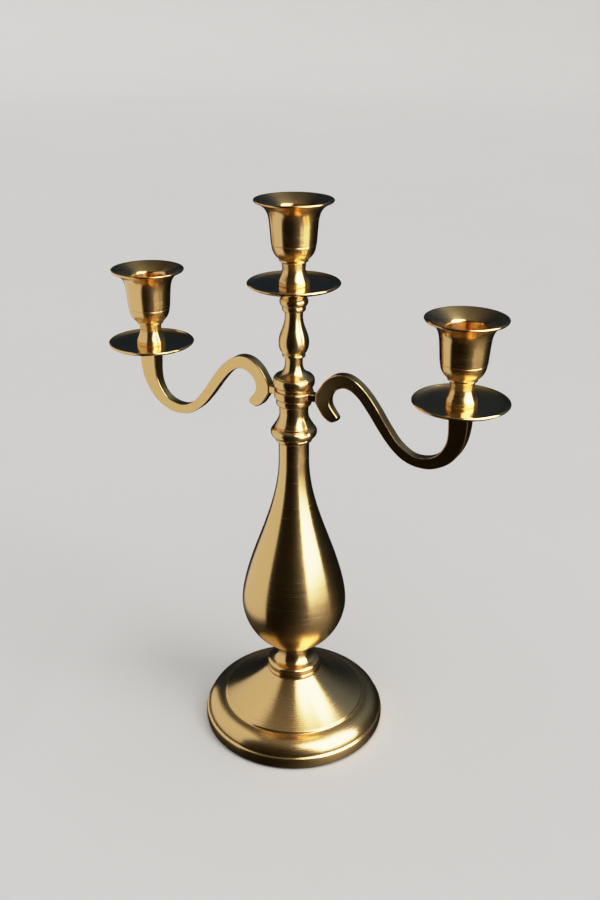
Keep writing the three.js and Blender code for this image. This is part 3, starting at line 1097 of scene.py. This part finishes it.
# %% Floor
floor_outline = (
    Outline(0, 0)
    .line(5000, 0)
    .curve(8000, 3000, (8000, 0), steps=24)
    .line(8000, 5000)
)
floor_points = [spot[:2] for spot in floor_outline.spots]
floor = spun("pale_floor", floor_points, 96, closed=False, merge_within=1e-5)
floor.data.flip_normals()
floor.location.z = -0.0002
floor_finish = Finish("pale_paper")
paper = patina(floor_finish, 400)
paper_colour = blend_colours(floor_finish, paper, (0.60, 0.59, 0.57), (0.63, 0.62, 0.60))
floor.data.materials.append(
    floor_finish.surface({"Base Color": paper_colour, "Roughness": 0.9})
)
floor.visible_glossy = False
floor.visible_shadow = False
floor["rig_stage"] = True
print("floor faces:", len(floor.data.polygons))


# %% Soft panels
def toward(bearing, rise):
    """Direction from the stem: bearing from the camera's side, rise above the horizon."""
    turn, lift = STAND_TURN + math.radians(bearing), math.radians(rise)
    return Vector(
        (math.sin(turn) * math.cos(lift), -math.cos(turn) * math.cos(lift), math.sin(lift))
    )


def soft_panel(name, aim, bearing, rise, distance, width, tall, brightness, colour):
    """A rectangular light that faces the stem at the height it is aimed at."""
    data = bpy.data.lights.new(name, "AREA")
    data.shape = "RECTANGLE"
    data.size = width
    data.size_y = tall
    data.energy = brightness * math.pi * width * tall
    data.color = colour
    lamp = bpy.data.objects.new(name, data)
    bpy.context.scene.collection.objects.link(lamp)
    out = toward(bearing, rise)
    lamp.visible_diffuse = False
    lamp.visible_camera = False
    lamp.location = Vector((0, 0, aim)) + out * distance
    side = Vector((0, 0, 1)).cross(out).normalized()
    lamp.rotation_euler = Matrix((side, out.cross(side), out)).transposed().to_euler()
    return lamp


left_panel = soft_panel("left_panel", 0.2, -97, 0, 0.19, 0.305, 0.44, 0.68, (1.0, 0.96, 0.97))
right_panel = soft_panel("right_panel", 0.16, 55.5, 34, 1.2, 1.25, 1.75, 5.5, (1.0, 0.97, 0.98))
print("panels:", left_panel.name, right_panel.name)

# %% Floor fill and room
def floor_light(name, bearing, rise, strength, softness):
    """A far soft light that the floor sees and the brass doesn't mirror."""
    data = bpy.data.lights.new(name, "SUN")
    data.energy = strength
    data.angle = math.radians(softness)
    lamp = bpy.data.objects.new(name, data)
    lamp.rotation_euler = toward(bearing, rise).to_track_quat("Z", "Y").to_euler()
    lamp.visible_glossy = False
    bpy.context.scene.collection.objects.link(lamp)
    return lamp


fill = floor_light("overhead_fill", 20, 76, 2.3, 80)
key = floor_light("side_key", 57, 42, 1.1, 28)
print("floor lights:", fill.name, key.name)


# %% Dim room
class Room(Finish):
    """The same node helper, on the world."""

    def __init__(self, world):
        world.use_nodes = True
        self.tree = world.node_tree
        self.tree.nodes.clear()

    def lobe(self, outward, direction, sharpness):
        """1 in one direction, fading smoothly to 0 away from it."""
        facing = self.node(
            "ShaderNodeVectorMath",
            {"operation": "DOT_PRODUCT"},
            {0: outward, 1: direction},
            output="Value",
        )
        lit = facing.math("MAXIMUM", facing, 0.0)
        return lit.math("POWER", lit, sharpness)


world = bpy.data.worlds.new("dim_room")
bpy.context.scene.world = world
room = Room(world)
outward = room.node("ShaderNodeTexCoord", output="Generated")
up = room.node("ShaderNodeSeparateXYZ", None, {0: outward}, "Z")
heights = [
    (0.0, (0.006, 0.005, 0.004)),
    (0.42, (0.007, 0.0055, 0.004)),
    (0.54, (0.010, 0.008, 0.005)),
    (0.80, (0.014, 0.011, 0.007)),
    (0.90, (0.06, 0.053, 0.045)),
    (0.96, (0.15, 0.14, 0.125)),
    (1.0, (0.20, 0.185, 0.165)),
]
shade = room.node("ShaderNodeValToRGB", {"stops": heights}, {0: up * 0.5 + 0.5})
blue_wall = room.lobe(outward, toward(122, 42), 9.0)
back_wall = room.lobe(outward, toward(180, 18), 5.0)
warm_floor = room.lobe(outward, toward(58, -38), 6.0)


def tinted(base, amount, colour):
    """Adds an amount of one colour to what is there."""
    return room.node(
        "ShaderNodeMix",
        {"data_type": "RGBA", "blend_type": "ADD"},
        {0: amount, 6: base, 7: (*colour, 1.0)},
        output=2,
    )


shade = tinted(shade, blue_wall, (0.13, 0.175, 0.26))
shade = tinted(shade, back_wall, (0.0, 0.011, 0.032))
shade = tinted(shade, warm_floor, (0.15, 0.125, 0.10))
glow = room.node("ShaderNodeBackground", None, {"Color": shade, "Strength": 1.0})
room.node("ShaderNodeOutputWorld", None, {"Surface": glow})
print("room: dim, with blue and warm tints")

# %% [markdown]
# ## Highlights that roll off
# A highlight on brass is many times brighter than white paper. A plain view would cut it off
# in a hard-edged white patch, so a curve bends the top of the scale over, as film does. Its
# points pair a level in the scene with the level shown. Levels are stored as a share of the
# white level, and the darkest handles are straight so that the shadows stay as they are.

# %% Tone curve
WHITE_LEVEL = 8
STRAIGHT_BELOW = 0.04
view = bpy.context.scene.view_settings
view.view_transform = "Standard"
view.use_curve_mapping = True
view.curve_mapping.white_level = (WHITE_LEVEL, WHITE_LEVEL, WHITE_LEVEL)
shoulder = view.curve_mapping.curves[3]
tone = [
    (0.25, 0.25), (0.5, 0.49), (0.75, 0.665), (1.0, 0.775), (1.5, 0.88), (2.2, 0.935), (4.0, 0.98),
]
for level, shown in tone:
    shoulder.points.new(level / WHITE_LEVEL, shown)
for point in shoulder.points:
    point.handle_type = "VECTOR" if point.location.x < STRAIGHT_BELOW else "AUTO"
view.curve_mapping.update()
print("tone curve points:", len(shoulder.points))

# %% [markdown]
# The looks must not change the size. The last line measures the box of everything shown.

low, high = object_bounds()
